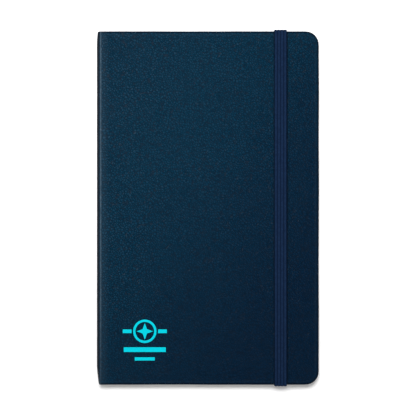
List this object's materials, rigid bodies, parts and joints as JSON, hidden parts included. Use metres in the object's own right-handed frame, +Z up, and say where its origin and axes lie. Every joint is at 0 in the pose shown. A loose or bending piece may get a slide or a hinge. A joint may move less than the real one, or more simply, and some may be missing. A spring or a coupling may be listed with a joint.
{
  "type": "pilot logbook",
  "caption": "Hard-cover bound logbook with sewn pages, a hinged front cover and a lift-off elastic strap down its fore-edge side.",
  "frame": {"origin": "under the middle of the closed book, on the surface its rear cover lies on", "axes": "+Z up through the closed book, +Y towards the head, -X towards the spine, +X towards the fore edge"},
  "size_m": [0.132, 0.2118, 0.0157],
  "materials": {
    "leatherette": "fine-grained satin",
    "grey_board": "matte",
    "endpaper": "matte",
    "page_paper": "matte",
    "print": "matte ink",
    "elastic": "ribbed, matte",
    "cloth": "woven, matte",
    "gauze": "open weave",
    "lining_paper": "matte"
  },
  "bodies": {
    "rear_case": {"spine_leatherette": "leatherette", "spine_card": "grey_board", "front_joint": "leatherette", "rear_joint": "leatherette", "rear_leatherette": "leatherette", "rear_board": "grey_board", "rear_pastedown": "endpaper", "pocket_panel": "endpaper", "pocket_gusset_head": "cloth", "pocket_gusset_tail": "cloth", "signature_02": "page_paper", "signature_03": "page_paper", "signature_04": "page_paper", "signature_05": "page_paper", "signature_06": "page_paper", "signature_07": "page_paper", "signature_08": "page_paper", "signature_09": "page_paper", "signature_10": "page_paper", "signature_11": "page_paper", "signature_12": "page_paper", "rear_flyleaf": "endpaper", "ribbon_marker": "cloth", "sewing_thread": "gauze", "spine_mull": "gauze", "spine_lining": "lining_paper", "headband": "cloth", "tailband": "cloth", "strap_leg_head": "elastic", "strap_leg_tail": "elastic", "strap_tail_head": "elastic", "strap_tail_tail": "elastic"},
    "front_cover": {"front_leatherette": "leatherette", "front_board": "grey_board", "front_pastedown": "endpaper", "emblem_print": "print"},
    "flyleaf": {"front_flyleaf": "endpaper"},
    "first_signature": {"signature_01": "page_paper"},
    "half_turned_leaf": {"turning_leaf": "page_paper"},
    "strap": {"strap_run": "elastic"}
  },
  "joints": [
    {"name": "front_hinge", "type": "hinge", "parent": "rear_case", "child": "front_cover", "pos_m": [-0.0648, 0, 0.0132], "axis": [0, -1, 0], "range_deg": [0, 178], "deforming": ["front_joint"]},
    {"name": "flyleaf_turn", "type": "hinge", "parent": "rear_case", "child": "flyleaf", "pos_m": [-0.0648, 0, 0.0132], "axis": [0, -1, 0], "range_deg": [0, 175.5]},
    {"name": "first_signature_turn", "type": "hinge", "parent": "rear_case", "child": "first_signature", "pos_m": [-0.0648, 0, 0.0132], "axis": [0, -1, 0], "range_deg": [0, 171]},
    {"name": "leaf_turn", "type": "hinge", "parent": "rear_case", "child": "half_turned_leaf", "pos_m": [-0.0648, 0, 0.0132], "axis": [0, -1, 0], "range_deg": [0, 107]},
    {"name": "strap_pull", "type": "slide", "parent": "rear_case", "child": "strap", "axis": [0.94, 0, 0.3412], "range_m": [0, 0.03], "stiffness_N_per_m": 80, "springref_m": -0.01, "deforming": ["strap_leg_head", "strap_leg_tail"]}
  ],
  "couplings": [
    {"joint": "flyleaf_turn", "follows": "front_hinge", "ratio": 0.985},
    {"joint": "first_signature_turn", "follows": "front_hinge", "ratio": 0.96},
    {"joint": "leaf_turn", "follows": "front_hinge", "ratio": 0.6}
  ]
}
